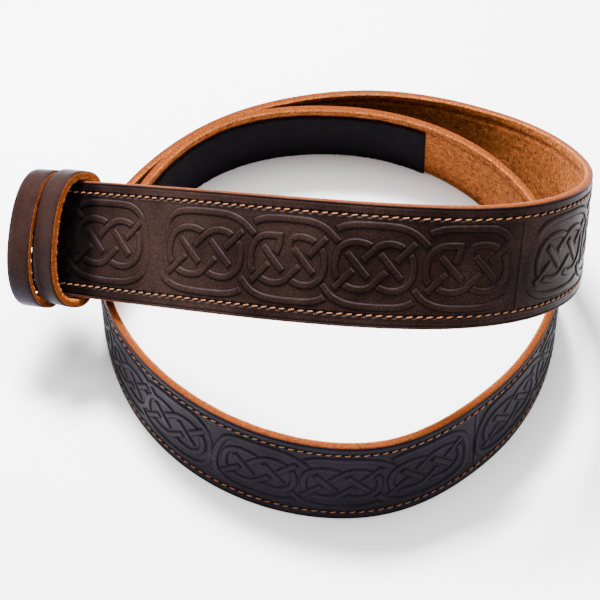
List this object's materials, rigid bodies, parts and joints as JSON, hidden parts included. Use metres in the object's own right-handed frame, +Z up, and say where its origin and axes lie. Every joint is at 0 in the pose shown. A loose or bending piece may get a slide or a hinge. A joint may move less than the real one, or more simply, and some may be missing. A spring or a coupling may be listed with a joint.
{
  "type": "kilt belt",
  "caption": "Wide tooled leather kilt belt coiled on its long edge, with keeper loops on its buckle end and hook-and-loop tape inside its other end.",
  "frame": {"origin": "on the floor under the middle of the belt's bounding box", "axes": "+Z up; -Y towards the front, where the upper turn's tooled face looks forward and the keepers lie on the left, at -X"},
  "size_m": [0.2864, 0.2464, 0.1487],
  "materials": {
    "strap_leather": "dark brown, semi-matt, tan suede inside",
    "keeper_leather": "dark brown, satin, tan cut edges",
    "tape_fabric": "matt black pile"
  },
  "bodies": {
    "root": {"strap": "strap_leather", "keeper_outer": "keeper_leather", "keeper_inner": "keeper_leather", "fastening_tape": "tape_fabric"}
  },
  "joints": []
}
